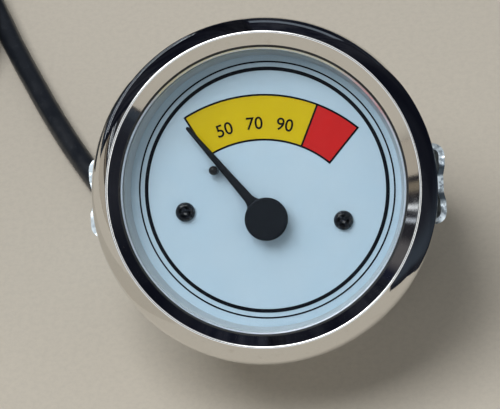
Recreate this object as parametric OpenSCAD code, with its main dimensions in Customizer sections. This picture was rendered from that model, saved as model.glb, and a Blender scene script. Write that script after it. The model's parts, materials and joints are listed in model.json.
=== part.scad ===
// Remote reading thermometer for a panel: a round gauge head with a Bourdon tube movement,
// a clamp bracket on two studs, and a sheathed capillary that ends in a sensing bulb.
// Millimetres. The gauge head is drawn about its own axis, with the dial facing +Z and
// z = 0 on the panel's front face, then leaned back on its two studs and its rear corner.

/* [Case and bezel] */
// Outer diameter of the case barrel, which passes through the panel
case_d = 52; // [48:0.5:64]
// Depth of the case behind the panel's front face
case_depth = 27; // [22:0.5:36]
// Sheet thickness of the case barrel
case_wall = 0.8; // [0.5:0.1:1.2]
// Thickness of the case's rear plate
rear_t = 1; // [0.8:0.1:2]
// Outside radius of the case's rear corner
case_corner = 2; // [1.2:0.1:4]
// Width of the flange around the mouth of the case
flange_w = 2.6; // [1.5:0.1:3]
// How far the bezel reaches out past the case barrel
bezel_lap = 4; // [3.4:0.1:6]
// Width of the bezel's outer slope, from its edge in to its crest
outer_slope_w = 3; // [2:0.1:4]
// Width of the bezel's inner slope, from its crest in to its lip
inner_slope_w = 2.6; // [1.8:0.1:2.8]
// Height of the bezel's crest above the panel
crest_h = 5.5; // [4.5:0.1:8]
// Height of the bezel's lip above the panel
lip_h = 3.3; // [2.8:0.1:4]
// Sheet thickness of the bezel
bezel_t = 0.5; // [0.4:0.05:0.7]

/* [Glass and dial] */
// Thickness of the glass
glass_t = 2; // [1.5:0.1:2.5]
// Height of the spacer ring between the dial and the glass
spacer_h = 3.6; // [3:0.1:6]
// Thickness of the dial plate
dial_t = 0.8; // [0.5:0.1:1.2]
// Clockwise turn of the dial and movement against the line of the studs, in degrees
dial_turn = 5.3; // [0:0.1:10]
// Distance between the two dial screws
screw_spread = 27.6; // [26:0.1:29]
// How far the dial screws lie below the middle of the dial
screw_drop = 4.4; // [4:0.1:5]
// How far the pointer's pivot lies below the middle of the dial
pivot_drop = 4.85; // [4.6:0.05:5.6]
// How far the pointer's pivot lies to the right of the middle of the dial
pivot_side = 0.6; // [0:0.05:0.8]

/* [Pointer] */
// Length of the pointer from its pivot to its tip
pointer_len = 21; // [16:0.1:24]
// Diameter of the cap on the pointer's hub
cap_d = 7.5; // [5:0.1:9]
// Width of the pointer beside its hub
arm_root_w = 1.6; // [1:0.1:2.4]
// Width of the pointer at its tip
arm_tip_w = 0.62; // [0.5:0.02:1]
// Thickness of the pointer's sheet
arm_t = 0.5; // [0.3:0.1:0.6]
// Angle of the cold pointer to the left of the dial's top, in degrees
rest_angle = 44.1; // [30:0.1:60]
// Sweep of the pointer from cold to hot, in degrees
sweep = 84; // [60:1:98]
// Diameter of the stop pin that the cold pointer rests against
stop_d = 1.6; // [1:0.1:2]
// Distance of the stop pin from the pointer's pivot
stop_r = 12.5; // [10:0.1:14]

/* [Movement] */
// Module of the sector and pinion teeth
tooth_module = 0.2; // [0.18:0.01:0.21]
// Number of teeth on the pinion
pinion_teeth = 12; // [10:1:14]
// Number of teeth in a full turn of the sector
sector_teeth = 84; // [77:7:84]
// Length of the sector's tail, from its pivot to the link pin
tail_len = 5; // [4.5:0.1:5.5]
// Space between the two movement plates
plate_gap = 8; // [7.6:0.1:10]
// Thickness of the movement plates
plate_t = 1; // [0.8:0.1:1.2]
// Height of the posts that carry the dial
post_h = 3.3; // [2.5:0.1:4]
// Mean radius of the Bourdon tube
tube_r = 20.3; // [19.6:0.1:21]
// Arc of the Bourdon tube, in degrees
tube_arc = 285; // [275:1:290]
// Height of the flattened Bourdon tube along the gauge's axis
tube_h = 6; // [5:0.1:7]
// Thickness of the flattened Bourdon tube
tube_w = 1.8; // [1.4:0.1:2.2]

/* [Clamp] */
// Distance between the two studs
stud_spread = 36; // [30:0.5:40]
// Diameter of the studs
stud_d = 4; // [3:0.5:5]
// Length of the studs behind the case
stud_reach = 22; // [20:0.5:30]
// Width of the bracket's channel
bracket_w = 14; // [12:0.5:15]
// Sheet thickness of the bracket
bracket_t = 1; // [0.8:0.1:1.2]
// Depth of the channel over its flanges
channel_depth = 2.8; // [2:0.1:3]
// Gap between the case barrel and the bracket's legs
leg_gap = 4.05; // [3.6:0.05:6]
// How far the bracket sits to the right in the play of its stud holes
bracket_side = 0.1; // [0:0.05:0.2]
// Distance from the panel's front face to the feet of the bracket
foot_gap = 3; // [2.2:0.1:8]
// Length of the bracket's legs over the web
leg_len = 33; // [31:0.5:36]
// How far each leg leans out towards its foot, in degrees
leg_splay = 3.5; // [0:0.5:5]

/* [Capillary and bulb] */
// Diameter of the sheathed capillary
cord_d = 4.2; // [3.6:0.1:4.4]
// Length of the boot's tapered arm
boot_len = 14; // [14:0.5:18]
// Mean radius of the stored coil
coil_r = 25.55; // [25:0.05:27]
// Distance between neighbouring turns of the coil
coil_pitch = 4.62; // [4.6:0.01:5]
// Turns in each of the coil's two layers
coil_turns = 4; // [3:1:4]
// Diameter of the sensing bulb
bulb_d = 10; // [8:0.5:11]
// Length of the sensing bulb in front of its seat
bulb_len = 36; // [25:1:60]
// Width of the union nut across its flats
nut_flats = 17; // [15:0.5:19]
// Thread diameter of the union nut
thread_d = 14; // [13:0.5:15]

/* [Hidden] */
$fn = 96;

// Fits and small sizes that several pieces share
slip = 0.2;
run = 0.05;
seat = 0.01;
bend = 0.6;
hem_gap = 1;
flange_z = bezel_t + 0.1;
flange_t = 0.8;

// Radii and heights of the head, in its own frame
case_r = case_d / 2;
bore_r = case_r - case_wall;
bezel_r = case_r + bezel_lap;
crest_r = bezel_r - outer_slope_w;
lip_r = crest_r - inner_slope_w;
flange_r = case_r + flange_w;
flange_top = flange_z + flange_t;
glass_r = bore_r - slip;
lip_t = bezel_t + 0.1;
glass_front = lip_h - lip_t;
glass_back = glass_front - glass_t;
dial_top = glass_back - spacer_h;
dial_back = dial_top - dial_t;
front_top = dial_back - post_h;
front_bottom = front_top - plate_t;
back_top = front_bottom - plate_gap;
back_bottom = back_top - plate_t;
rear_out = -case_depth;
rear_in = rear_out + rear_t;
arm_z = dial_top + 1.7;
cap_top = arm_z + arm_t + 0.9;

// Places in the movement, seen from the front with the dial upright
pivot = [pivot_side, -pivot_drop];
gear_gap = tooth_module * (pinion_teeth + sector_teeth) / 2;
sector_at = pivot + [gear_gap, 0];
sector_turn = sweep * pinion_teeth / sector_teeth;
tube_mid = tube_arc / 2;
tube_centroid = tube_r * sin(tube_mid) / (tube_mid * PI / 180) * [cos(tube_mid), sin(tube_mid)];
tip_pin_at = [15, -0.5];
tip_arm = tip_pin_at - tube_centroid;
tip_turn = 2 * asin(tail_len * sin(sector_turn / 2) / norm(tip_arm));
tail_angle = atan2(tip_arm.y, tip_arm.x) + tip_turn / 2 - sector_turn / 2;
tail_pin_at = sector_at + tail_len * [cos(tail_angle), sin(tail_angle)];
sector_z = back_top + 2.6;
sector_t = 0.8;
link_z = sector_z + sector_t + 0.1;
link_t = 0.5;
spring_z = back_top + 5.4;
spring_h = 0.8;
spring_turns = 3.5;
spring_in = 1.75;
spring_out = 5.4;
spring_strip = 0.14;
spring_stud_at = pivot + [spring_out + 0.9, 0];
tube_z = back_top + 3.5;
pillar_at = [[-9, -5], [4.5, 5.5], [5, -14.2]];
screw_at = [for (side = [-1, 1]) [side * screw_spread / 2, -screw_drop]];
block_screw_at = [[1.5, -19.5], [9, -19.5]];
plate_block_at = [[1.2, -11.4], [9, -11.4]];
arbor_r = 0.8;
journal_r = 0.5;
pin_r = 0.4;
stop_turn = rest_angle + asin((arm_half(stop_r) + stop_d / 2 + 0.03) / stop_r);

// Sizes of the clamp
stud_x = stud_spread / 2;
stud_r = stud_d / 2;
stud_end = rear_out - stud_reach;
leg_x = case_r + leg_gap + bracket_t;
foot_z = -foot_gap;
web_z = foot_z - leg_len;
bend_r = channel_depth + 1.2;
channel_corner = 2.1;
bead_depth = 0.35;
bead_half = 3;
bead_slope = 1.5;
washer_t = 1;
stud_nut_t = 3.2;
stud_nut_flats = 1.75 * stud_d;

// The boot leaves the rear plate, turns left and tapers to the cord
boot_at = [4.5, -12.7];
boot_r = 3.4;
boot_end_r = 2.7;
boot_bend = 4;
boot_base = 0.4;
boot_axis_z = rear_out - boot_base - boot_bend;
boot_end_x = boot_at.x - boot_bend - boot_len;
cord_r = cord_d / 2;

// The head leans until its studs and the round rear corner of its case touch the surface
lean_run = stud_reach + case_corner;
lean_rise = case_r - case_corner - stud_r;
lean = atan2(lean_rise, lean_run) + asin(case_corner / norm([lean_run, lean_rise]));
head_lift = -stud_end * sin(lean) + stud_r * cos(lean);
bezel_slope = [for (t = [0:0.05:1]) (1 - t) * (1 - t) * [bezel_r, 1.1]
    + 2 * t * (1 - t) * [bezel_r - 0.5, crest_h - 1.9] + t * t * [crest_r + 0.45, crest_h - 0.12]];
front_y = -max([for (p = bezel_slope) p.y * cos(lean) + p.x * sin(lean)]);
back_y = (case_depth - case_corner) * cos(lean) + (case_r - case_corner) * sin(lean) + case_corner;
head_shift = -(front_y + back_y) / 2;

// Where the boot's end lies once the head leans
boot_end = [boot_end_x, -boot_axis_z * cos(lean) + boot_at.y * sin(lean) + head_shift,
    boot_axis_z * sin(lean) + boot_at.y * cos(lean) + head_lift];

// Route of the free capillary over the surface to its coil
lead_route = [[-20.3, 6.34, 5.02], [-22.83, 7.01, 4.5], [-25.2, 8.12, 3.82], [-27.34, 9.62, 3.12],
    [-29.19, 11.47, 2.58], [-30.69, 13.61, 2.27], [-31.8, 15.98, 2.13], [-32.5, 18.6, 2.1],
    [-33.3, 22.3, 2.1], [-34.6, 26, 2.1], [-36.4, 29.6, 2.1], [-38.4, 33, 2.1],
    [-40.4, 36.4, 2.1], [-42.4, 39.9, 2.1], [-44.3, 43.4, 2.1], [-46.6, 47.8, 2.1],
    [-48.8, 52.2, 2.1], [-50.9, 56.6, 2.1], [-53, 61, 2.1], [-55.1, 65.5, 2.1],
    [-57.2, 70.1, 2.2], [-59.2, 74.7, 2.4], [-61, 78.9, 2.6]];
// Route from the coil down to the surface and up into the bulb's ferrule
tail_route = [[-124, 49.6, 6.9], [-121.8, 44.6, 5.5], [-119.6, 39.6, 3.6], [-117.4, 34.8, 2.4],
    [-115.2, 30.4, 2.4], [-113, 26.4, 3.8], [-110.8, 22.6, 6.1], [-108.4, 18.9, 8.4]];

// The coil: two flat spirals, one above the other, joined by half a turn at the inside
coil_at = [-96, 72];
coil_start = 24;
coil_lift = 0.7;
coil_steps = 24;
coil_dip = 0.95;
coil_in = coil_r - coil_pitch * coil_turns / 2;
coil_out = coil_r + coil_pitch * coil_turns / 2;
coil_z = coil_lift + cord_r;
tie_angle = 294;
tie_w = 4;
tie_t = 0.6;

// The bulb lies with its nut and its tip on the surface
bulb_at = [-106, 15.6];
bulb_heading = -57;
bulb_r = bulb_d / 2;
neck_r = 3.6;
ferrule_r = 4.2;
ferrule_len = 10;
neck_start = 4;
hex_start = 11;
hex_len = 7;
thread_len = 9;
seat_start = hex_start + hex_len + thread_len + 0.3;
seat_r = 6.2;
seat_len = 2.7;
bulb_start = seat_start + seat_len;
bulb_tip = bulb_start + bulb_len;
tip_round = 1.5;
bulb_pitch = atan((nut_flats / 2 - bulb_r) / (bulb_tip - tip_round - hex_start - hex_len));
bulb_z = nut_flats / 2 * cos(bulb_pitch) + (hex_start + hex_len) * sin(bulb_pitch);

// Outlines
function arc(c, r, from, to, steps = 10) =
    [for (i = [0:steps]) let (a = from + (to - from) * i / steps) c + r * [cos(a), sin(a)]];

function curve(p, q, s, steps = 8) =
    [for (i = [0:steps]) let (t = i / steps) (1 - t) * (1 - t) * p + 2 * t * (1 - t) * q + t * t * s];

function bar(p, q, r) = let (a = atan2(q.y - p.y, q.x - p.x))
    concat(arc(p, r, a + 90, a + 270, 8), arc(q, r, a - 90, a + 90, 8));

// Involute teeth: half the width of a tooth, as an angle, at radius r
function inv(a) = tan(a) * 180 / PI - a;
function tooth_half(r, pitch_r, teeth, thin) = let (base = pitch_r * cos(20))
    90 / teeth - thin / pitch_r * 90 / PI + inv(20) - inv(acos(min(1, base / r)));

// One tooth about the direction a, from root to tip and back
function tooth(a, teeth, addendum, dedendum, thin) =
    let (pitch_r = tooth_module * teeth / 2,
        base = pitch_r * cos(20),
        low = max(base, pitch_r - dedendum),
        radii = concat([pitch_r - dedendum], [for (i = [0:4]) low + (pitch_r + addendum - low) * i / 4]),
        half = [for (r = radii) tooth_half(max(r, base), pitch_r, teeth, thin)],
        last = len(radii) - 1)
    concat([for (i = [0:last]) radii[i] * [cos(a - half[i]), sin(a - half[i])]],
        [for (i = [last:-1:0]) radii[i] * [cos(a + half[i]), sin(a + half[i])]]);

// Profile of the bracket's channel: depth inward from the outer face, then across, offset from r
function channel(r, bead) = let (w = bracket_w / 2, c = channel_corner, t = bracket_t,
        inner = [bead_half - bead_slope, bead_half], d = bead ? bead_depth : 0)
    [for (p = concat([[channel_depth, -w]], arc([c, c - w], c, 270, 180, 6),
        [[0, -inner[1]], [d, -inner[0]], [d, inner[0]], [0, inner[1]]],
        arc([c, w - c], c, 180, 90, 6), [[channel_depth, w], [channel_depth, w - t]],
        arc([c, w - c], c - t, 90, 180, 6),
        [[t, inner[1]], [t + d, inner[0]], [t + d, -inner[0]], [t, -inner[1]]],
        arc([c, c - w], c - t, 180, 270, 6), [[channel_depth, t - w]])) [r - p.x, p.y]];

// Tubes swept along points: rings stand square to the route, triangles join them
function unit(v) = v / norm(v);
function run_at(p, i) = unit(p[min(i + 1, len(p) - 1)] - p[max(i - 1, 0)]);
function ring(p, along, r, sides) = let (side = unit(cross(along, [0, 0, 1])), up = cross(side, along))
    [for (k = [0:sides - 1]) let (a = 360 * k / sides) p + r * (cos(a) * side + sin(a) * up)];
function skin(rings, sides) = concat(
    [for (k = [1:sides - 2]) [0, k + 1, k]],
    [for (i = [0:rings - 2], k = [0:sides - 1]) let (m = (k + 1) % sides, b = i * sides)
        each [[b + k, b + m, b + sides + m], [b + k, b + sides + m, b + sides + k]]],
    [for (k = [1:sides - 2]) let (b = (rings - 1) * sides) [b, b + k, b + k + 1]]);

module tube_along(points, r, sides, first, last) {
    count = len(points);
    verts = [for (i = [0:count - 1])
        each ring(points[i], i == 0 ? first : i == count - 1 ? last : run_at(points, i), r, sides)];
    polyhedron(verts, skin(count, sides), convexity = 8);
}

// Centre line of the coil, with a straight end of one cord diameter at each end
coil_steps_in = coil_turns * coil_steps;
coil_steps_over = coil_steps / 2;
function coil_point(i) =
    let (a = coil_start + 360 * i / coil_steps,
        over = min(max((i - coil_steps_in) / coil_steps_over, 0), 1),
        out_turns = max(0, i - coil_steps_in - coil_steps_over) / coil_steps,
        r = i < coil_steps_in ? coil_out - coil_pitch * i / coil_steps
            : coil_in + coil_pitch * out_turns - coil_dip * sin(180 * over))
    [coil_at.x + r * cos(a), coil_at.y + r * sin(a), coil_z + coil_pitch * (1 - cos(180 * over)) / 2];
coil_last = 2 * coil_steps_in + coil_steps_over;
function heading(a) = [-sin(a), cos(a), 0];
coil_end_angle = coil_start + 360 * coil_last / coil_steps;
coil_entry = coil_point(0) - cord_d * heading(coil_start);
coil_exit = coil_point(coil_last) + cord_d * heading(coil_end_angle);
coil_line = concat([coil_entry], [for (i = [0:coil_last]) coil_point(i)], [coil_exit]);
bulb_dir = [cos(bulb_heading) * cos(bulb_pitch), sin(bulb_heading) * cos(bulb_pitch), -sin(bulb_pitch)];

// The coil's least gap to itself, measured on its points
coil_gap = min([for (i = [0:len(coil_line) - 1], j = [i + coil_steps / 2:1:len(coil_line) - 1])
    norm(coil_line[i] - coil_line[j])]) - cord_d;
echo(coil_gap = coil_gap);

// Frames: the leaning head, its turned dial and movement, and the bulb
module head() {
    translate([0, head_shift, head_lift]) rotate([90 - lean, 0, 0]) children();
}

module turned() {
    head() rotate([0, 0, -dial_turn]) children();
}

module at_bulb() {
    translate([bulb_at.x, bulb_at.y, bulb_z]) rotate([0, 90 + bulb_pitch, bulb_heading]) children();
}

module at(points, z) {
    for (p = points) translate([p.x, p.y, z]) children();
}

// Solid of revolution from radius and height points
module turned_solid(points) {
    rotate_extrude() polygon(points);
}

module slotted_screw(head_r, head_t, shank_r, shank_len) {
    difference() {
        union() {
            turned_solid(concat([[0, 0], [head_r, 0]],
                arc([head_r - 0.3, head_t - 0.3], 0.3, 0, 90, 4), [[0, head_t]]));
            translate([0, 0, -shank_len]) cylinder(r = shank_r, h = shank_len);
        }
        translate([-head_r, -0.3, head_t - 0.5]) cube([2 * head_r, 0.6, 1]);
    }
}

// Case: a drawn cup with a flange around its mouth
module case() {
    color("silver") head() difference() {
        turned_solid(concat([[0, rear_out]],
            arc([case_r - case_corner, rear_out + case_corner], case_corner, -90, 0, 8),
            [[case_r, flange_z], [flange_r, flange_z], [flange_r, flange_top], [bore_r, flange_top]],
            arc([bore_r - 1, rear_in + 1], 1, 0, -90, 6), [[0, rear_in]]));
        at([[-stud_x, 0], [stud_x, 0]], rear_out - 1) cylinder(r = stud_r + run, h = rear_t + 2);
        at([boot_at], rear_out - 1) cylinder(r = boot_end_r + 2 * run, h = rear_t + 2);
        rotate([0, 0, -dial_turn]) at(block_screw_at, rear_out - 1) cylinder(r = 1.3, h = rear_t + 2);
    }
}

// Bezel: a spun ridge of thin sheet, hemmed behind the case flange
module bezel() {
    color("gainsboro") head() difference() {
        turned_solid(concat([[case_r + hem_gap, 0], [bezel_r - bend, 0]],
            arc([bezel_r - bend, bend], bend, -90, 0, 4),
            curve([bezel_r, 1.1], [bezel_r - 0.5, crest_h - 1.9],
                [crest_r + 0.45, crest_h - 0.12], 8),
            curve([crest_r + 0.3, crest_h - 0.03], [crest_r, crest_h + 0.03],
                [crest_r - 0.3, crest_h - 0.06], 3),
            curve([crest_r - 0.42, crest_h - 0.12], [crest_r - 0.7, crest_h - 0.3],
                [crest_r - 1, crest_h - 0.56], 3),
            arc([lip_r + lip_t / 2, lip_h + 0.05], lip_t / 2, 132, 180, 4),
            arc([lip_r + lip_t / 2, lip_h - lip_t / 2], lip_t / 2, 180, 260, 4),
            [[lip_r + 0.7, glass_front], [lip_r + 0.9, glass_front - 0.2]],
            [[lip_r + 0.9, bezel_t], [case_r + hem_gap, bezel_t]]));
        turned_solid(concat([[lip_r + 0.7, bezel_t], [flange_r + 0.15, bezel_t]],
            curve([bezel_r - bezel_t, 1.1], [bezel_r - bezel_t - 0.5, crest_h - 2.1],
                [crest_r + 0.35, crest_h - 0.7], 8),
            [[crest_r - 0.4, crest_h - 0.75], [crest_r - 1, crest_h - 1.16]],
            [[lip_r + 1.1, lip_h - 0.1]],
            [[lip_r + 0.7, glass_front]]));
    }
}

// Glass: a flat disc with ground edges
module glass() {
    color("azure", 0.35) head() turned_solid([[0, glass_back], [glass_r - 0.3, glass_back],
        [glass_r, glass_back + 0.3], [glass_r, glass_front - 0.3 - seat],
        [glass_r - 0.3, glass_front - seat], [0, glass_front - seat]]);
}

// Seal: a rubber ring around the glass, on the case flange
module glass_seal() {
    color("dimgray") head() translate([0, 0, flange_top]) turned_solid([[glass_r + 0.05, 0.02],
        [case_r + 1.3, 0.02], [case_r + 1.3, 1], [case_r + 0.5, 1.3], [glass_r + 0.05, 1.1]]);
}

// Spacer: a pale ring that narrows from the glass down to the dial
module spacer_ring() {
    color("lightgray") head() turned_solid([[bore_r - slip, dial_top], [bore_r - slip, glass_back - seat],
        [lip_r - 0.1, glass_back - seat], [lip_r - 0.35, glass_back - 0.5],
        [lip_r - 0.8, dial_top + 0.3], [lip_r - 0.8, dial_top]]);
}

// Dial plate with its holes
module dial_plate() {
    color("aliceblue") turned() difference() {
        translate([0, 0, dial_back + seat]) cylinder(r = bore_r - slip, h = dial_t - 2 * seat);
        translate([pivot.x, pivot.y, dial_back - 1]) cylinder(r = 1.6, h = dial_t + 2);
        at(screw_at, dial_back - 1) cylinder(r = 1.35, h = dial_t + 2);
        at([stop_at()], dial_back - 1) cylinder(r = stop_d / 2 - 0.15, h = dial_t + 2);
    }
}

function stop_at() = pivot + stop_r * [-sin(stop_turn), cos(stop_turn)];

// Dial screws: small pan heads with a cross recess
module dial_screws() {
    head_r = 1.7;
    color("black") turned() at(screw_at, dial_top) difference() {
        union() {
            turned_solid(concat([[0, seat], [head_r, seat], [head_r, 0.35]],
                curve([head_r, 0.45], [head_r - 0.2, 1], [head_r - 0.75, 1.08], 4), [[0, 1.12]]));
            translate([0, 0, -dial_t - 2.4]) cylinder(r = 1.15, h = dial_t + 2.5);
        }
        for (a = [20, 110]) rotate([0, 0, a]) translate([0, 0, 0.35]) linear_extrude(1)
            polygon([[-0.92, -0.22], [-0.92, 0.22], [-0.37, 0.39], [0.37, 0.39], [0.92, 0.22], [0.92, -0.22],
                [0.37, -0.39], [-0.37, -0.39]]);
    }
}

// Stop pin: a domed peg riveted into the dial
module stop_pin() {
    shank_r = stop_d / 2 - 0.17;
    color("black") turned() at([stop_at()], dial_top)
        turned_solid(concat([[0, -dial_t + 0.1], [shank_r, -dial_t + 0.1], [shank_r, seat],
            [stop_d / 2, seat]], arc([0, 1.9], stop_d / 2, 0, 90, 6)));
}

// Pointer: a tapered blade that flares into its hub
function arm_half(r) = let (past = r - cap_d / 2,
        t = max(0, past) / (pointer_len - cap_d / 2),
        f = max(0, 1 - past / 2.4))
    (arm_root_w + (arm_tip_w - arm_root_w) * pow(t, 1.4)) / 2 + 0.8 * f * f * f;

module pointer() {
    inner_r = cap_d / 2 - 0.6;
    tip_r = arm_tip_w / 2;
    steps = 14;
    radii = [for (i = [0:steps]) inner_r + (pointer_len - tip_r - inner_r) * pow(i / steps, 1.6)];
    color("black") turned() translate([pivot.x, pivot.y, arm_z]) rotate([0, 0, rest_angle]) difference() {
        union() {
            cylinder(r = cap_d / 2 - 0.25, h = arm_t);
            linear_extrude(arm_t) polygon(concat([for (r = radii) [arm_half(r), r]],
                arc([0, pointer_len - tip_r], tip_r, 20, 160, 6),
                [for (i = [steps:-1:0]) [-arm_half(radii[i]), radii[i]]]));
            translate([0, 0, -0.8]) cylinder(r = 1.4, h = 0.9);
        }
        translate([0, 0, -1]) cylinder(r = journal_r + 0.1 + seat, h = 2);
    }
}

// Cap: a flat disc with a rounded edge on the pointer's hub
module pointer_cap() {
    t = cap_top - arm_z - arm_t;
    color("black") turned() translate([pivot.x, pivot.y, arm_z + arm_t + seat])
        turned_solid(concat([[0, 0], [cap_d / 2 - 0.1, 0], [cap_d / 2, 0.1]],
            arc([cap_d / 2 - 0.4, t - 0.4], 0.4, 0, 90, 5), [[0, t]]));
}

// Spindle with its pinion: one turned and cut piece
module pinion_spindle() {
    leaf_z = sector_z - 1;
    color("goldenrod") turned() translate([pivot.x, pivot.y, 0]) {
        translate([0, 0, leaf_z]) linear_extrude(sector_t + 2)
            polygon([for (k = [0:pinion_teeth - 1]) each tooth((k + 0.5) * 360 / pinion_teeth, pinion_teeth,
                tooth_module, 1.1 * tooth_module, 0.03)]);
        turned_solid([[0, back_bottom + 0.1], [journal_r, back_bottom + 0.1], [journal_r, back_top + 0.1],
            [arbor_r, back_top + 0.2], [arbor_r, leaf_z + 0.05], [0, leaf_z + 0.05]]);
        turned_solid([[0, leaf_z + sector_t + 1.95], [arbor_r, leaf_z + sector_t + 1.95],
            [arbor_r, dial_top + 0.4], [journal_r + 0.1, dial_top + 0.7],
            [journal_r + 0.1, arm_z + arm_t - 0.05], [0, arm_z + arm_t - 0.05]]);
    }
}

// Collet: a split ring that holds the inner end of the hairspring
module spring_collet() {
    color("goldenrod") turned() translate([pivot.x, pivot.y, spring_z - 0.4]) difference() {
        cylinder(r = 1.6, h = spring_h + 0.8);
        translate([0, 0, -1]) cylinder(r = arbor_r + seat, h = spring_h + 3);
        translate([0, -0.15, -1]) cube([3, 0.3, spring_h + 3]);
    }
}

// Hairspring: a flat spiral from the collet out to its stud
function spiral(t, off) =
    let (r = spring_in + (spring_out - spring_in) * t + off, a = 180 + 360 * spring_turns * t)
    r * [cos(a), sin(a)];
module hairspring() {
    steps = 84;
    color("steelblue") turned() translate([pivot.x, pivot.y, spring_z]) linear_extrude(spring_h)
        polygon(concat([for (i = [0:steps]) spiral(i / steps, spring_strip / 2)],
            [for (i = [steps:-1:0]) spiral(i / steps, -spring_strip / 2)]));
}

// Stud that holds the outer end of the hairspring under the front plate
module hairspring_stud() {
    color("goldenrod") turned() at([spring_stud_at], spring_z - 0.4) difference() {
        cylinder(r = 0.8, h = front_bottom - spring_z + 0.4 + plate_t * 0.8);
        translate([-1, -0.35, -0.1]) cube([0.55, 0.7, spring_h + 0.7]);
    }
}

// Plates of the movement: bars between the pillars, the arbors and the posts
module plate_bars(pairs, r) {
    for (p = pairs) linear_extrude(plate_t) polygon(bar(p[0], p[1], r));
}

module plate_bores() {
    at([pivot], -1) cylinder(r = journal_r + run, h = plate_t + 2);
    at([sector_at], -1) cylinder(r = journal_r + run, h = plate_t + 2);
    at(pillar_at, -1) cylinder(r = 0.9, h = plate_t + 2);
}

module front_plate() {
    color("tan") turned() translate([0, 0, front_bottom]) difference() {
        plate_bars([[screw_at[0], screw_at[1]], [pillar_at[0], pillar_at[1]], [pillar_at[1], pillar_at[2]],
            [pillar_at[0], pillar_at[2]]], 3);
        plate_bores();
        at([pivot], -1) cylinder(r = arbor_r + run, h = plate_t + 2);
        at([spring_stud_at], -1) cylinder(r = 0.8 + seat, h = plate_t + 2);
        at(screw_at, -1) cylinder(r = 1.25, h = plate_t + 2);
    }
}

module back_plate() {
    color("tan") turned() translate([0, 0, back_bottom]) difference() {
        plate_bars([[pillar_at[0], pillar_at[1]], [pillar_at[1], pillar_at[2]], [pillar_at[0], sector_at],
            [pillar_at[0], pillar_at[2]], [plate_block_at[0], plate_block_at[1]],
            [sector_at, pillar_at[2]]], 3);
        plate_bores();
        at(plate_block_at, -1) cylinder(r = 1.05, h = plate_t + 2);
    }
}

module plate_pillars() {
    color("goldenrod") turned() at(pillar_at, back_top + seat) difference() {
        union() {
            cylinder(r = 2, h = plate_gap - 2 * seat);
            translate([0, 0, -plate_t + 0.05]) cylinder(r = 0.85, h = plate_t);
        }
        translate([0, 0, plate_gap - 4]) cylinder(r = 0.85, h = 5);
    }
}

module plate_screws() {
    color("silver") turned() at(pillar_at, front_top + seat) slotted_screw(1.9, 1.1, 0.8, 3.5);
}

// Posts that carry the dial above the front plate
module dial_posts() {
    color("goldenrod") turned() at(screw_at, front_top + seat) difference() {
        union() {
            cylinder(r = 2.5, h = post_h - 2 * seat);
            translate([0, 0, -plate_t + 0.05]) cylinder(r = 1.2, h = plate_t);
        }
        translate([0, 0, 0.4]) cylinder(r = 1.2, h = post_h);
    }
}

// Sector: a toothed quadrant with a tail for the link
module sector() {
    tooth_pitch = 360 / sector_teeth;
    dedendum = 1.25 * tooth_module;
    root_r = tooth_module * sector_teeth / 2 - dedendum;
    first = 180 - 5 * tooth_pitch;
    last = 180 + 3 * tooth_pitch;
    color("burlywood") turned() translate([sector_at.x, sector_at.y, sector_z]) difference() {
        linear_extrude(sector_t) {
            polygon(concat([[-1.6, -1.2], [-1.6, 1.6], root_r * [cos(first), sin(first)]],
                [for (k = [-4:1:2]) each tooth(180 + k * tooth_pitch, sector_teeth,
                    0.7 * tooth_module, dedendum, 0.03)],
                [root_r * [cos(last), sin(last)]]));
            circle(r = 2.2);
            polygon(bar([0, 0], tail_pin_at - sector_at, 1.2));
        }
        translate([0, 0, -1]) cylinder(r = arbor_r + seat, h = sector_t + 2);
        at([tail_pin_at - sector_at], -1) cylinder(r = pin_r + seat, h = sector_t + 2);
        translate([-5.2, 0.1, -1]) cylinder(r = 1.1, h = sector_t + 2);
    }
}

module sector_arbor() {
    color("goldenrod") turned() translate([sector_at.x, sector_at.y, 0])
        turned_solid([[0, back_bottom + 0.1], [journal_r, back_bottom + 0.1], [journal_r, back_top + 0.1],
            [arbor_r, back_top + 0.2], [arbor_r, front_bottom - 0.2], [journal_r, front_bottom - 0.1],
            [journal_r, front_top - 0.1], [0, front_top - 0.1]]);
}

// Link between the tube's tip and the sector's tail
module link() {
    color("burlywood") turned() translate([0, 0, link_z]) difference() {
        linear_extrude(link_t) polygon(bar(tail_pin_at, tip_pin_at, 1.1));
        at([tail_pin_at], -1) cylinder(r = pin_r + run, h = link_t + 2);
        at([tip_pin_at], -1) cylinder(r = pin_r + 0.08, h = link_t + 2);
    }
}

// A riveted pin through a link, with its head above it
module link_pin() {
    top = link_z + link_t;
    turned_solid([[0, sector_z - 0.4], [pin_r + 0.25, sector_z - 0.4], [pin_r + 0.25, sector_z - seat],
        [pin_r, sector_z - seat], [pin_r, top + 0.1], [pin_r + 0.3, top + 0.1],
        [pin_r + 0.3, top + 0.35], [0, top + 0.4]]);
}

module sector_link_pin() {
    color("silver") turned() translate([tail_pin_at.x, tail_pin_at.y, 0]) link_pin();
}

module tip_link_pin() {
    color("silver") turned() translate([tip_pin_at.x, tip_pin_at.y, 0]) link_pin();
}

// Flat oval section of the Bourdon tube, grown by g
module tube_section(g) {
    w = tube_w + 2 * g;
    h = tube_h + 2 * g;
    polygon([for (p = bar([0, w / 2 - h / 2], [0, h / 2 - w / 2], w / 2)) p + [tube_r, tube_z]]);
}

module bourdon_tube() {
    color("peru") turned() rotate_extrude(angle = tube_arc) difference() {
        tube_section(0);
        tube_section(-0.35);
    }
}

// End piece of the tube, with an arm for the link's pin
module tube_tip() {
    color("goldenrod") turned() difference() {
        union() {
            translate([tube_r - 1.7, -2.8, tube_z - tube_h / 2 - 0.2]) cube([3.4, 2.75, tube_h + 0.4]);
            translate([0, 0, sector_z]) linear_extrude(sector_t)
                polygon(bar([tube_r - 0.8, -1.5], tip_pin_at, 1.2));
        }
        at([tip_pin_at], sector_z - 1) cylinder(r = pin_r + seat, h = sector_t + 2);
    }
}

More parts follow.
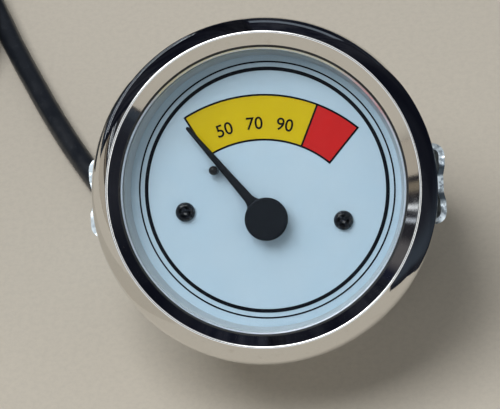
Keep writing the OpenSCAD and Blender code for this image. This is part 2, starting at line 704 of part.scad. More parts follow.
// Block that holds the tube's fixed end, the capillary and the back plate
module tube_block() {
    grip = 18;
    color("darkgoldenrod") turned() difference() {
        intersection() {
            union() {
                translate([-1.5, -23, rear_in + seat]) cube([13, 15, back_bottom - rear_in - 2 * seat]);
                rotate([0, 0, tube_arc - 8]) translate([tube_r - 2.4, -2.8, rear_in + 1])
                    cube([4.6, 6.4, tube_z + tube_h / 2 + 1 - rear_in]);
            }
            translate([0, 0, rear_in]) cylinder(r = bore_r - 1.6, h = case_depth);
        }
        rotate([0, 0, tube_arc - grip]) rotate_extrude(angle = grip + 0.3) tube_section(0.06);
        at(block_screw_at, rear_in - 1) cylinder(r = 1.05, h = 6);
        at(plate_block_at, back_bottom - 4) cylinder(r = 1.05, h = 5);
        rotate([0, 0, dial_turn]) translate([boot_at.x, boot_at.y, rear_in - 1]) cylinder(r = 0.85, h = 8);
    }
}

module plate_block_screws() {
    color("silver") turned() at(plate_block_at, back_top + seat) slotted_screw(1.8, 1.1, 1, 4.5);
}

module block_screws() {
    color("silver") turned() at(block_screw_at, rear_out - seat) rotate([180, 0, 0])
        slotted_screw(2.3, 1.4, 1, 5);
}

// Bare capillary between the block and the boot
module capillary_core() {
    color("peru") head() translate([boot_at.x, boot_at.y, rear_out - 2]) difference() {
        cylinder(r = 0.8, h = rear_t + 2 + 6.5);
        translate([0, 0, -1]) cylinder(r = 0.35, h = 20);
    }
}

// Studs: a head inside the case, a riveted collar outside, and a pointed end
module stud(side) {
    head() translate([side * stud_x, 0, 0]) turned_solid([[0, rear_in + 1.4],
        [stud_r + 1.6, rear_in + 1.4], [stud_r + 1.9, rear_in + 1.1], [stud_r + 1.9, rear_in + seat],
        [stud_r, rear_in + seat], [stud_r, rear_out - seat], [stud_r + 1.2, rear_out - seat],
        [stud_r + 1.2, rear_out - 0.8], [stud_r + 0.9, rear_out - 1.1], [stud_r, rear_out - 1.1],
        [stud_r, stud_end + 0.01], [0, stud_end]]);
}

module stud_left() {
    color("silver") stud(-1);
}

module stud_right() {
    color("silver") stud(1);
}

// Bracket: a pressed channel bent to a U, with a bead along each leg
module clamp_bracket() {
    leg_end = web_z + bend_r;
    rise = foot_z - leg_end;
    bend_x = leg_x - bend_r * cos(leg_splay) - (rise + bend_r * sin(leg_splay)) * tan(leg_splay);
    color("lightsteelblue") head() translate([bracket_side, 0, 0]) difference() {
        union() {
            for (side = [0, 1]) mirror([side, 0, 0]) translate([bend_x, 0, leg_end]) {
                rotate([0, leg_splay, 0]) linear_extrude(rise + 1) polygon(channel(bend_r, true));
                rotate([-90, 0, 0]) rotate([0, 0, leg_splay]) rotate_extrude(angle = 90 - leg_splay)
                    polygon(channel(bend_r, false));
            }
            translate([-bend_x, 0, 0]) rotate([0, 90, 0]) linear_extrude(2 * bend_x)
                polygon(channel(-web_z, false));
        }
        translate([-leg_x - 2, -bracket_w, foot_z]) cube([2 * leg_x + 4, 2 * bracket_w, 6]);
        at([[-stud_x, 0], [stud_x, 0]], web_z - 1) cylinder(r = stud_r + 0.3, h = 5);
    }
}

// Spring washers: split rings under the two nuts
module spring_washers() {
    color("silver") head() at([[-stud_x, 0], [stud_x, 0]], web_z - washer_t + seat) difference() {
        cylinder(r = stud_r + 1.5, h = washer_t - 2 * seat);
        translate([0, 0, -1]) cylinder(r = stud_r + 0.2, h = 4);
        rotate([0, 0, 75]) translate([0, -0.25, -1]) cube([6, 0.5, 4]);
    }
}

// Hexagon nut with chamfered corners and a bore that runs on its stud
module hex_nut(flats, t, bore) {
    corner = flats / sqrt(3);
    difference() {
        intersection() {
            cylinder(r = corner, h = t, $fn = 6);
            turned_solid([[0, 0], [flats / 2 - 0.1, 0], [corner + 0.1, 0.45],
                [corner + 0.1, t - 0.45], [flats / 2 - 0.1, t], [0, t]]);
        }
        translate([0, 0, -1]) cylinder(r = bore, h = t + 2);
    }
}

module stud_nut(side) {
    head() translate([side * stud_x, 0, web_z - washer_t - stud_nut_t])
        hex_nut(stud_nut_flats, stud_nut_t, stud_r + run);
}

module stud_nut_left() {
    color("silver") stud_nut(-1);
}

module stud_nut_right() {
    color("silver") stud_nut(1);
}

// Boot: a moulded elbow with a grooved, tapered arm
module capillary_boot() {
    grooves = 4;
    step = 2.4;
    color("dimgray") head() translate([boot_at.x, boot_at.y, rear_out]) difference() {
        union() {
            translate([0, 0, -1.2]) turned_solid([[0, 0], [boot_r + 0.8, 0], [boot_r + 1.3, 0.5],
                [boot_r + 1.3, 1.2 - seat], [boot_end_r, 1.2 - seat], [boot_end_r, 2.1], [0, 2.1]]);
            translate([-boot_bend, 0, -boot_base]) rotate([90, 0, 0]) rotate([0, 0, -90])
                rotate_extrude(angle = 90) translate([boot_bend, 0]) circle(r = boot_r);
            translate([-boot_bend, 0, -boot_base - boot_bend]) rotate([0, -90, 0])
                turned_solid(concat([[0, 0], [boot_r, 0], [boot_r, 2]],
                    [for (k = [0:grooves - 1]) let (u = 2.6 + step * k, r = boot_r - 0.3 - 0.09 * k)
                        each [[r - 0.45, u], [r - 0.45, u + 0.7], [r, u + 0.9], [r - 0.05, u + step - 0.2]]],
                    [[boot_end_r + 0.2, boot_len - 2], [boot_end_r, boot_len - 0.5]],
                    [[boot_end_r - 0.4, boot_len], [0, boot_len]]));
        }
        translate([0, 0, -2.2]) cylinder(r = 0.85, h = 5);
    }
}

// The free cord from the boot to the coil, and the same cord from the coil to the bulb
module capillary_lead() {
    left = [-1, 0, 0];
    color("black") tube_along(concat([boot_end, boot_end + cord_d * left], lead_route, [coil_entry]),
        cord_r, 8, left, heading(coil_start));
}

module capillary_tail() {
    color("black") tube_along(concat([coil_exit], tail_route, [bulb_end()]), cord_r, 8,
        heading(coil_end_angle), bulb_dir);
}

function bulb_end() = [bulb_at.x, bulb_at.y, bulb_z] - 0.02 * bulb_dir;

module capillary_coil() {
    color("black") tube_along(coil_line, cord_r, 6, heading(coil_start), heading(coil_end_angle));
}

// Tie: a strap around the coil's turns
module coil_tie() {
    near = coil_in + coil_pitch / 4 - cord_r - 0.6;
    far = coil_out - coil_pitch * 3 / 4 + cord_r + 0.35;
    low = coil_lift - 0.05;
    high = coil_z + coil_pitch + cord_r + 0.1;
    corner = 1.2;
    color("darkslategray") translate([coil_at.x, coil_at.y, 0]) rotate([0, 0, tie_angle])
        translate([0, tie_w / 2, 0]) rotate([90, 0, 0]) linear_extrude(tie_w) difference() {
            polygon(concat(arc([near, low], tie_t, 180, 270, 3), arc([far, low], tie_t, 270, 360, 3),
                arc([far, high], tie_t, 0, 90, 3), arc([near, high], tie_t, 90, 180, 3)));
            translate([near, low]) square([far - near, high - low]);
        }
}

// Ferrule: the crimped sleeve between the cord and the bulb's neck
module bulb_ferrule() {
    color("goldenrod") at_bulb() difference() {
        turned_solid([[0, 0], [cord_r + 0.7, 0], [cord_r + 1, 0.3], [cord_r + 1.2, 2.2], [ferrule_r, 3.2],
            [ferrule_r, 5.6], [ferrule_r - 0.3, 5.9], [ferrule_r - 0.3, 6.6], [ferrule_r, 6.9],
            [ferrule_r, ferrule_len], [0, ferrule_len]]);
        translate([0, 0, neck_start]) cylinder(r = neck_r + seat, h = ferrule_len);
    }
}

// Union nut: a hexagon and a threaded shank that turn on the bulb's neck
module union_nut() {
    shank_r = thread_d / 2;
    color("gold") at_bulb() translate([0, 0, hex_start]) difference() {
        union() {
            rotate([0, 0, 30]) hex_nut(nut_flats, hex_len, neck_r + 0.1);
            translate([0, 0, hex_len - 0.1]) turned_solid([[neck_r, 0], [shank_r - 0.6, 0],
                [shank_r - 0.6, 0.9], [shank_r, 1.5], [shank_r, thread_len - 0.9],
                [shank_r - 0.9, thread_len + 0.1], [neck_r, thread_len + 0.1]]);
        }
        translate([0, 0, -1]) cylinder(r = neck_r + 0.1, h = hex_len + thread_len + 2);
    }
}

// Bulb: a closed tube with a conical seat and a long neck
module bulb() {
    color("gold") at_bulb() turned_solid(concat([[0, neck_start + seat], [neck_r, neck_start + seat],
        [neck_r, seat_start - 0.1], [neck_r + 0.6, seat_start], [seat_r - 0.6, seat_start + 0.2],
        [seat_r, seat_start + 0.8], [seat_r, bulb_start - 0.8], [bulb_r, bulb_start]],
        arc([bulb_r - tip_round, bulb_tip - tip_round], tip_round, 0, 90, 5), [[0, bulb_tip]]));
}

case();
bezel();
glass();
glass_seal();
spacer_ring();
dial_plate();
dial_screws();
stop_pin();
pointer();
pointer_cap();
pinion_spindle();
spring_collet();
hairspring();
hairspring_stud();
front_plate();
back_plate();
plate_pillars();
plate_screws();
dial_posts();
sector();
sector_arbor();
link();
sector_link_pin();
tip_link_pin();
bourdon_tube();
tube_tip();
tube_block();
plate_block_screws();
block_screws();
capillary_core();
stud_left();
stud_right();
clamp_bracket();
spring_washers();
stud_nut_left();
stud_nut_right();
capillary_boot();
capillary_lead();
capillary_coil();
coil_tie();
capillary_tail();
bulb_ferrule();
union_nut();
bulb();
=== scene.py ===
"""Looks of the remote reading thermometer: materials, print, bezel, capillary, light and camera.

The scene is in metres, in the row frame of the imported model. The gauge head leans back, so its
pieces are drawn in millimetres in the head's own frame, with the dial facing +z and z = 0 on the
panel's front face, and are then placed by HEAD. DIAL places the dial's pieces, which are turned a
little in the head.
"""
import json
import math

import bmesh
import bpy
from mathutils import Matrix, Vector


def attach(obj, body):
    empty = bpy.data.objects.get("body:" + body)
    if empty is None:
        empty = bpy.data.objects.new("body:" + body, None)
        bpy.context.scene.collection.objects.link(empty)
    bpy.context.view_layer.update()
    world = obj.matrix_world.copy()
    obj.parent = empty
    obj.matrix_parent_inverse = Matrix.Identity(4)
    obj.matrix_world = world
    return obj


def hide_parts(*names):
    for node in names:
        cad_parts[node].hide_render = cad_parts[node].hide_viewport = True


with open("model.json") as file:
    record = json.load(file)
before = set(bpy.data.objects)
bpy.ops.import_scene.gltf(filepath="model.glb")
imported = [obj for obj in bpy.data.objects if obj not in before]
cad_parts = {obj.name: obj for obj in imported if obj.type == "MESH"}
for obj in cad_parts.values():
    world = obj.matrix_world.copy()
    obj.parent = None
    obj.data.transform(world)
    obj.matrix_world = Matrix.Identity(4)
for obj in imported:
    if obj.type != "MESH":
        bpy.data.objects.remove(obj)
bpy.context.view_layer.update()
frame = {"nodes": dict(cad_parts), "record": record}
nodes = frame["nodes"]
scene = bpy.context.scene


# Camera: six degrees to the right of the leaning dial's axis, half a metre away
LENS_MM = 208.938
CAMERA_AT = (0.04981, -0.35111, 0.39694)
CAMERA_TURN = (43.4644, 6.0043, 2.3885)


def make_camera():
    data = bpy.data.cameras.new("camera")
    data.sensor_fit = "HORIZONTAL"
    data.sensor_width = 36
    data.lens = LENS_MM
    data.clip_start = 0.01
    data.clip_end = 20
    camera = bpy.data.objects.new("camera", data)
    camera.location = CAMERA_AT
    camera.rotation_euler = [math.radians(a) for a in CAMERA_TURN]
    scene.collection.objects.link(camera)
    scene.camera = camera


make_camera()

# Shared with the CAD model, in degrees and millimetres: the head's lean, where the middle of its
# front face stands, the dial's turn in it, the cord's diameter and the end of the rubber boot
LEAN = 46.0323
LIFT = 36.6553
SHIFT = -6.5513
DIAL_TURN = 5.3
CORD_D = 4.2
CORD_R = CORD_D / 2
BOOT_END = (-13.5, 6.108, 5.239)


def head_matrix(turn=0.0):
    """The head's frame in millimetres, turned clockwise as seen from the front."""
    place = Matrix.Translation((0, SHIFT / 1000, LIFT / 1000))
    lean = Matrix.Rotation(math.radians(90 - LEAN), 4, "X")
    spin = Matrix.Rotation(math.radians(-turn), 4, "Z")
    return place @ lean @ spin @ Matrix.Scale(0.001, 4)


HEAD = head_matrix()
DIAL = head_matrix(DIAL_TURN)


def on_dial(x, y, z, turn):
    """A place in the dial's frame, turned counterclockwise as seen from the front."""
    return DIAL @ Matrix.Translation((x, y, z)) @ Matrix.Rotation(math.radians(turn), 4, "Z")


def new_object(name, data, material, body="gauge"):
    obj = bpy.data.objects.new(name, data)
    scene.collection.objects.link(obj)
    data.materials.append(material)
    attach(obj, body)
    return obj


def body_of(node):
    """Body that carries a CAD node."""
    bodies = frame["record"]["behaviour"]["bodies"]
    return next(body for body, names in bodies.items() if node in names)


# Materials, all of them node-based. Object coordinates are the row frame in metres, so a noise's
# scale is in waves per metre and a bump's distance is in metres.
class Surface:
    """A Principled material with helpers for the patterns that feed it."""

    def __init__(self, name, color, metallic=0.0, roughness=0.5, **inputs):
        self.mat = bpy.data.materials.new(name)
        self.mat.use_nodes = True
        self.tree = self.mat.node_tree
        self.shader = self.tree.nodes["Principled BSDF"]
        self.set("Base Color", (*color, 1))
        self.set("Metallic", metallic)
        self.set("Roughness", roughness)
        for key, value in inputs.items():
            self.set(key.replace("_", " "), value)
        self.coords = self.node("ShaderNodeTexCoord").outputs["Object"]
        self.height = None

    def node(self, kind, **settings):
        made = self.tree.nodes.new(kind)
        for key, value in settings.items():
            setattr(made, key, value)
        return made

    def link(self, a, b):
        self.tree.links.new(a, b)

    def set(self, socket, value):
        self.shader.inputs[socket].default_value = value

    def mapped(self, scale=(1, 1, 1), matrix=None):
        """Object coordinates, turned into the head's frame where asked, then scaled."""
        out = self.coords
        if matrix is not None:
            mapping = self.node("ShaderNodeMapping", vector_type="POINT")
            inverse = matrix.inverted()
            mapping.inputs["Location"].default_value = inverse.to_translation() / 1000
            mapping.inputs["Rotation"].default_value = inverse.to_euler()
            self.link(out, mapping.inputs["Vector"])
            out = mapping.outputs["Vector"]
        if tuple(scale) != (1, 1, 1):
            mapping = self.node("ShaderNodeMapping", vector_type="POINT")
            mapping.inputs["Scale"].default_value = scale
            self.link(out, mapping.inputs["Vector"])
            out = mapping.outputs["Vector"]
        return out

    def split(self, vector=None):
        """X, Y and Z of a vector, by default of the object coordinates."""
        made = self.node("ShaderNodeSeparateXYZ")
        self.link(vector or self.coords, made.inputs["Vector"])
        return made.outputs

    def noise(self, scale, detail=3.0, rough=0.55, vector=None, distortion=0.0):
        noise = self.node("ShaderNodeTexNoise")
        noise.inputs["Scale"].default_value = scale
        noise.inputs["Detail"].default_value = detail
        noise.inputs["Roughness"].default_value = rough
        noise.inputs["Distortion"].default_value = distortion
        self.link(vector or self.coords, noise.inputs["Vector"])
        return noise.outputs["Fac"]

    def ramp(self, value, low, high, out_low=0.0, out_high=1.0):
        """Smooth step between two levels of a value."""
        ramp = self.node("ShaderNodeMapRange", interpolation_type="SMOOTHSTEP")
        ramp.inputs["From Min"].default_value = low
        ramp.inputs["From Max"].default_value = high
        ramp.inputs["To Min"].default_value = out_low
        ramp.inputs["To Max"].default_value = out_high
        self.link(value, ramp.inputs["Value"])
        return ramp.outputs["Result"]

    def math(self, operation, a, b):
        made = self.node("ShaderNodeMath", operation=operation)
        for socket, value in zip(made.inputs, (a, b)):
            if isinstance(value, (int, float)):
                socket.default_value = value
            else:
                self.link(value, socket)
        return made.outputs[0]

    def mix(self, factor, a, b):
        """Blend of two colours, each a tuple or a node's output, by the output of another."""
        made = self.node("ShaderNodeMix", data_type="RGBA")
        self.link(factor, made.inputs["Factor"])
        for socket, value in ((made.inputs["A"], a), (made.inputs["B"], b)):
            if isinstance(value, tuple):
                socket.default_value = (*value, 1)
            else:
                self.link(value, socket)
        return made.outputs["Result"]

    def color(self, value):
        self.link(value, self.shader.inputs["Base Color"])

    def roughness(self, value):
        self.link(value, self.shader.inputs["Roughness"])

    def bump(self, value, distance, strength=1.0):
        """Relief on top of the relief so far."""
        made = self.node("ShaderNodeBump")
        made.inputs["Distance"].default_value = distance
        made.inputs["Strength"].default_value = strength
        self.link(value, made.inputs["Height"])
        if self.height is not None:
            self.link(self.height, made.inputs["Normal"])
        self.height = made.outputs["Normal"]
        self.link(self.height, self.shader.inputs["Normal"])


def plated(name, color, roughness, hue=(1.0, 1.0, 1.0), blotch=0.06, scratch=0.00001):
    """Plated or bare metal: patchy sheen, a slight change of hue and fine handling marks."""
    s = Surface(name, color, metallic=1.0, roughness=roughness)
    patches = s.noise(180, 4, 0.6)
    tint = tuple(c * h for c, h in zip(color, hue))
    s.color(s.mix(s.ramp(patches, 0.35, 0.7), color, tint))
    s.roughness(s.ramp(s.noise(420, 5, 0.65), 0.3, 0.75, roughness - blotch, roughness + blotch))
    marks = s.noise(900, 2, 0.5, vector=s.mapped((1, 0.12, 0.3)))
    s.bump(marks, scratch, 0.5)
    s.bump(s.noise(2600, 2, 0.6), 0.000004, 0.4)
    return s


def turned_metal(name, color, roughness, tarnish):
    """Machined metal: fine tool marks and a little tarnish in patches."""
    s = Surface(name, color, metallic=1.0, roughness=roughness)
    patch = s.noise(90, 3, 0.5, distortion=0.4)
    s.color(s.mix(s.ramp(patch, 0.3, 1.0), color, tarnish))
    s.roughness(s.ramp(s.noise(300, 3, 0.6), 0.3, 0.7, roughness - 0.03, roughness + 0.06))
    s.bump(s.noise(3500, 2, 0.6), 0.0000015, 0.2)
    return s


def painted(name, color, roughness, grain, depth, dust, gloss):
    """Enamel, lacquer, ink or rubber: slight orange peel and a trace of dust."""
    s = Surface(name, color, roughness=roughness, Specular_IOR_Level=gloss)
    light = tuple(min(1.0, c + dust) for c in color)
    s.color(s.mix(s.ramp(s.noise(1400, 6, 0.7), 0.5, 0.8), color, light))
    s.roughness(s.ramp(s.noise(300, 4, 0.6), 0.3, 0.7, roughness - 0.05, roughness + 0.06))
    s.bump(s.noise(grain, 2, 0.5), depth, 0.4)
    return s


# Name, colour, roughness and the hue of the paler patches
PLATED = (
    # lip_satin is a paler, satin copy of the chrome, for a painted highlight on the bezel's lip
    ("lip_satin", (0.92, 0.91, 0.94), 0.38, (1.0, 1.0, 1.0)),
    ("case_steel", (0.56, 0.56, 0.55), 0.34, (0.92, 0.90, 0.86)),
    ("zinc_steel", (0.62, 0.63, 0.64), 0.32, (0.96, 0.95, 0.90)),
    ("screw_steel", (0.58, 0.58, 0.57), 0.30, (1.0, 1.0, 1.0)),
    ("blue_steel", (0.10, 0.14, 0.28), 0.25, (1.4, 1.1, 0.8)),
)
# Name, colour, roughness and tarnish
TURNED = (
    ("movement_brass", (0.78, 0.60, 0.30), 0.28, (0.60, 0.42, 0.20)),
    ("bulb_brass", (0.82, 0.66, 0.36), 0.24, (0.66, 0.48, 0.25)),
    ("nut_brass", (0.80, 0.63, 0.33), 0.28, (0.62, 0.44, 0.22)),
    ("ferrule_brass", (0.76, 0.58, 0.31), 0.30, (0.55, 0.38, 0.20)),
    ("spring_bronze", (0.72, 0.46, 0.28), 0.30, (0.50, 0.30, 0.18)),
    ("bare_copper", (0.80, 0.45, 0.30), 0.30, (0.45, 0.24, 0.15)),
)
# Name, colour, roughness, grain, depth of the grain, dust and gloss
PAINTED = (
    ("spacer_grey", (0.37, 0.43, 0.47), 0.38, 1800, 0.000006, 0.03, 0.5),
    ("black_oxide", (0.004, 0.006, 0.010), 0.20, 1800, 0.00001, 0.004, 0.5),
    ("black_gloss", (0.005, 0.006, 0.009), 0.20, 1800, 0.000006, 0.0, 0.5),
    ("pointer_black", (0.0035, 0.006, 0.010), 0.50, 1800, 0.00001, 0.003, 0.15),
    ("cap_black", (0.0035, 0.0065, 0.011), 0.55, 1800, 0.000012, 0.003, 0.15),
    ("ink_black", (0.002, 0.0035, 0.007), 0.40, 1800, 0.000002, 0.0, 0.12),
    ("ink_yellow", (0.56, 0.42, 0.001), 0.40, 1800, 0.000002, 0.0, 0.15),
    ("ink_red", (0.50, 0.010, 0.010), 0.40, 1800, 0.000002, 0.0, 0.15),
    ("rubber_seal", (0.02, 0.02, 0.02), 0.60, 900, 0.00002, 0.03, 0.5),
    ("boot_rubber", (0.022, 0.022, 0.024), 0.55, 900, 0.00002, 0.03, 0.5),
)
# The sheared ends of the bracket's legs begin this far along the head's z; across the right one,
# bands of painted shade darken the bends, which span these heights of the head's y (metres)
SHEARED_FROM = (-0.0033, -0.0031)
BEND_SHADE_BANDS = ((0.0014, 0.0034), (-0.0029, -0.0015))


def chrome():
    """Bezel chrome: a clean mirror with faint waves, a fine grain and slightly duller patches."""
    bright, dull = (0.80, 0.79, 0.77), (0.70, 0.68, 0.64)
    s = Surface("chrome", bright, metallic=1.0, roughness=0.05)
    s.roughness(s.ramp(s.noise(240, 5, 0.6), 0.35, 0.75, 0.035, 0.085))
    s.color(s.mix(s.ramp(s.noise(500, 5, 0.7), 0.55, 0.8), bright, dull))
    s.bump(s.noise(60, 2, 0.5), 0.00003, 0.25)
    s.bump(s.noise(5200, 2, 0.6), 0.0000025, 0.35)
    return s


def bracket_zinc():
    """Zinc-plated strip, rough and speckled on its right leg's sheared end, with painted shade on
    the bends.
    """
    s = plated("bracket_zinc", (0.84, 0.90, 0.94), 0.4, (0.90, 0.91, 0.92), 0.1, 0.00002)
    x, y, z = s.split(s.mapped(matrix=HEAD))
    sheared = s.ramp(z, *SHEARED_FROM)
    s.bump(s.math("MULTIPLY", s.noise(260, 2, 0.5), sheared), 0.0011)
    right = s.math("MULTIPLY", sheared, s.ramp(x, 0.0, 0.001))
    # Painted shade: dark bands across the bends of the right leg's sheared end
    bend_shade = []
    for low, high in BEND_SHADE_BANDS:
        above = s.ramp(y, low - 0.0004, low + 0.0003)
        beyond = s.ramp(y, high - 0.0003, high + 0.0004)
        bend_shade.append(s.math("SUBTRACT", above, beyond))
    dark = s.math("ADD", *bend_shade)
    speckle = s.ramp(s.noise(1300, 2, 0.6), 0.48, 0.6, 0.0, 0.75)
    zinc = s.mix(s.ramp(s.noise(180, 4, 0.6), 0.35, 0.7), (0.74, 0.82, 0.87), (0.82, 0.90, 0.95))
    zinc = s.mix(s.math("MULTIPLY", right, speckle), zinc, (0.20, 0.24, 0.28))
    # Painted shade on the bends, laid over the zinc
    s.color(s.mix(s.math("MULTIPLY", right, dark), zinc, (0.08, 0.10, 0.12)))
    return s


def dial_white():
    """Bluish white enamel with a very faint change of tone."""
    tone = (0.41, 0.545, 0.65)
    s = Surface("dial_white", tone, roughness=0.42)
    s.color(s.mix(s.ramp(s.noise(120, 4, 0.6), 0.3, 0.75), tone, (0.385, 0.53, 0.645)))
    s.bump(s.noise(2400, 2, 0.5), 0.000003, 0.4)
    return s


def cord_black():
    """Black plastic sheath, dulled and dusty in places."""
    tone = (0.013, 0.016, 0.022)
    s = Surface("cord_black", tone, roughness=0.36)
    s.color(s.mix(s.ramp(s.noise(900, 6, 0.7), 0.52, 0.8), tone, (0.040, 0.045, 0.055)))
    s.roughness(s.ramp(s.noise(260, 4, 0.6), 0.3, 0.7, 0.3, 0.46))
    s.bump(s.noise(700, 3, 0.6), 0.00002, 0.5)
    return s


def tie_fibre():
    """Woven black strap."""
    s = Surface("tie_fibre", (0.03, 0.03, 0.033), roughness=0.8)
    weave = s.node("ShaderNodeTexChecker")
    weave.inputs["Scale"].default_value = 2600
    s.link(s.coords, weave.inputs["Vector"])
    s.color(s.mix(s.noise(1500, 3), (0.022, 0.022, 0.024), (0.06, 0.06, 0.062)))
    s.bump(weave.outputs["Fac"], 0.00006, 0.7)
    return s


def glass():
    """Clear glass that lets shadow rays through."""
    s = Surface("glass", (0.985, 0.995, 0.99), roughness=0.015, Transmission_Weight=1.0, IOR=1.45)
    s.bump(s.noise(40, 2, 0.5), 0.00001, 0.1)
    clear = s.node("ShaderNodeBsdfTransparent")
    path = s.node("ShaderNodeLightPath")
    mix = s.node("ShaderNodeMixShader")
    s.link(path.outputs["Is Shadow Ray"], mix.inputs[0])
    s.link(s.shader.outputs[0], mix.inputs[1])
    s.link(clear.outputs[0], mix.inputs[2])
    s.link(mix.outputs[0], s.tree.nodes["Material Output"].inputs["Surface"])
    return s


def make_materials():
    made = {"bezel_chrome": chrome(), "bracket_zinc": bracket_zinc(), "dial_white": dial_white(),
            "cord_black": cord_black(), "tie_fibre": tie_fibre(), "glass": glass()}
    for kind, rows in ((plated, PLATED), (turned_metal, TURNED), (painted, PAINTED)):
        for row in rows:
            made[row[0]] = kind(*row)
    return {name: surface.mat for name, surface in made.items()}


M = make_materials()

slots = {part["node"]: part["material_slot"] for part in frame["record"]["subparts"]}
for name, obj in nodes.items():
    obj.data.materials.clear()
    obj.data.materials.append(M[slots[name]])


# Mesh tools
def mesh_from(name, verts, faces, matrix, angle=30.0):
    mesh = bpy.data.meshes.new(name)
    mesh.from_pydata([matrix @ Vector(v) for v in verts], [], faces)
    mesh.update()
    edit = bmesh.new()
    edit.from_mesh(mesh)
    bmesh.ops.recalc_face_normals(edit, faces=edit.faces)
    edit.to_mesh(mesh)
    edit.free()
    mesh.shade_smooth()
    mesh.set_sharp_from_angle(angle=math.radians(angle))
    return mesh


def ring_quads(rows, count):
    """Faces of a closed ring of sections, each with count points."""
    faces = []
    for i in range(rows):
        a, b = count * i, count * ((i + 1) % rows)
        faces += [(a + k, b + k, b + (k + 1) % count, a + (k + 1) % count) for k in range(count)]
    return faces


def wall_quads(rows, count):
    """Faces between open rows of count points, each row closed on itself."""
    faces = []
    for i in range(rows - 1):
        a, b = count * i, count * (i + 1)
        faces += [(a + k, a + (k + 1) % count, b + (k + 1) % count, b + k) for k in range(count)]
    return faces


def strip_quads(steps):
    """Faces of a flat strip whose points come in pairs."""
    return [(2 * i, 2 * i + 1, 2 * i + 3, 2 * i + 2) for i in range(steps)]


def turned(profile, steps):
    """Points and faces of a solid of revolution with a closed (radius, height) outline."""
    verts = []
    for i in range(steps):
        a = 2 * math.pi * i / steps
        verts += [(r * math.cos(a), r * math.sin(a), z) for r, z in profile]
    return verts, ring_quads(steps, len(profile))


def joined(parts):
    """Points and faces of several parts as one."""
    verts, faces = [], []
    for part_verts, part_faces in parts:
        base = len(verts)
        verts += part_verts
        faces += [tuple(i + base for i in face) for face in part_faces]
    return verts, faces


def arc(cx, cy, r, start, end, steps):
    """Points of an arc, from one angle to another in degrees."""
    return [
        (cx + r * math.cos(math.radians(start + (end - start) * i / steps)),
         cy + r * math.sin(math.radians(start + (end - start) * i / steps)))
        for i in range(steps + 1)
    ]


def curve(p, q, s, steps):
    """Points of the quadratic curve from p to s that q pulls on."""
    out = []
    for i in range(steps + 1):
        t = i / steps
        out.append(tuple((1 - t) ** 2 * a + 2 * t * (1 - t) * b + t * t * c
                         for a, b, c in zip(p, q, s)))
    return out


# Bezel: the CAD ring in finer steps, so that its reflections run clean, with a lip that rounds down
# to the glass. The pressed crest is a little off the rim's middle, as in the photograph.
CREST_OFF = (0.3, 0.22)
GLASS_TOP = 2.7
CREST_RISE = 2.8
CREST_FOOT, LIP_TOP = (26.732, 5.397), (24.958, 3.818)
LIP_AT = (26.296, 2.332)
LIP_R, STRIP_UNDER = 2.0, 1.95


def leaning_ring(name, outline):
    """A ring whose crest stands a little off the rim's middle, as the photographed one does."""
    mesh = mesh_from(name, *turned(outline, 360), Matrix(), 40)
    for vert in mesh.vertices:
        lean = max(vert.co.z - GLASS_TOP, 0) / CREST_RISE
        vert.co.x += CREST_OFF[0] * lean
        vert.co.y += CREST_OFF[1] * lean
    mesh.transform(HEAD)
    return mesh


def lip_strip(name, top, start, end, material):
    """Thin strip that lies on the lip's round, between two angles of it."""
    outline = arc(*LIP_AT, top, start, end, 8) + arc(*LIP_AT, STRIP_UNDER, end, start, 8)
    return new_object(name, leaning_ring(name, outline), M[material])


def make_bezel():
    outline = [(27.0, 0.0), (29.4, 0.0)]
    outline += arc(29.4, 0.6, 0.6, -90, 0, 8)[1:]
    outline += curve((30.0, 1.1), (29.48, 3.5), (27.27, 5.395), 40)
    outline += arc(27.0, 5.1, 0.4, 47.5, 132, 18)
    outline += [tuple(a + (b - a) * t for a, b in zip(CREST_FOOT, LIP_TOP)) for t in (0.03, 0.97)]
    outline += arc(*LIP_AT, LIP_R, 132, 167, 16)
    outline += [(24.37, 2.725), (24.45, 2.705), (25.1, GLASS_TOP), (25.3, 2.5), (25.3, 0.5),
                (27.0, 0.5)]
    bezel = new_object("bezel_ring", leaning_ring("bezel_ring", outline), M["bezel_chrome"])
    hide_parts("bezel")
    # Painted shade: a strip of black rubber colour on the lip's round stands for the dark line of
    # shade at the lip's inner edge
    edge = lip_strip("bezel_lip_shade_line", 2.02, 131, 146, "rubber_seal")
    # Painted highlight: a paler, satin copy of the chrome on the lower part of the lip's round
    # stands for a bright line of light there
    rim = lip_strip("bezel_lip_highlight_rim", 2.012, 145, 167, "lip_satin")


make_bezel()


# Dial print: flat ink a few hundredths of a millimetre above the enamel. BAND is the centre of the
# coloured fields' arcs; their left end points at LEFT_EDGE instead.
DIAL_TOP = -2.9
INK = 0.02
PRINT_MIDDLE = (0.19, 0.2)
BAND = (0.19, -9.35)
LEFT_EDGE = (0.19, -5.1)
FIELD_OUT, FIELD_IN, FIELD_LINE = 26.0, 18.23, 0.34
FIELD_SPLIT, FIELD_RIGHT = 18.0, 35.9
FIELD_STEPS = 72
RINGS = ((20.7, 21.35), (22.09, 22.37))
NUMBERS = (("50", "number_low", -22.0), ("70", "number_mid", -7.5), ("90", "number_high", 7.0))
NUMBER_R, NUMBER_SIZE, NUMBER_BOLD = 21.0, 3.05, 0.034


def flat_ring(cx, cy, r0, r1, a0, a1, z, steps):
    """Flat ring from angle a0 to a1, clockwise from 12 o'clock."""
    verts = []
    for i in range(steps + 1):
        a = math.radians(90 - (a0 + (a1 - a0) * i / steps))
        verts += [(cx + r * math.cos(a), cy + r * math.sin(a), z) for r in (r0, r1)]
    return verts, strip_quads(steps)


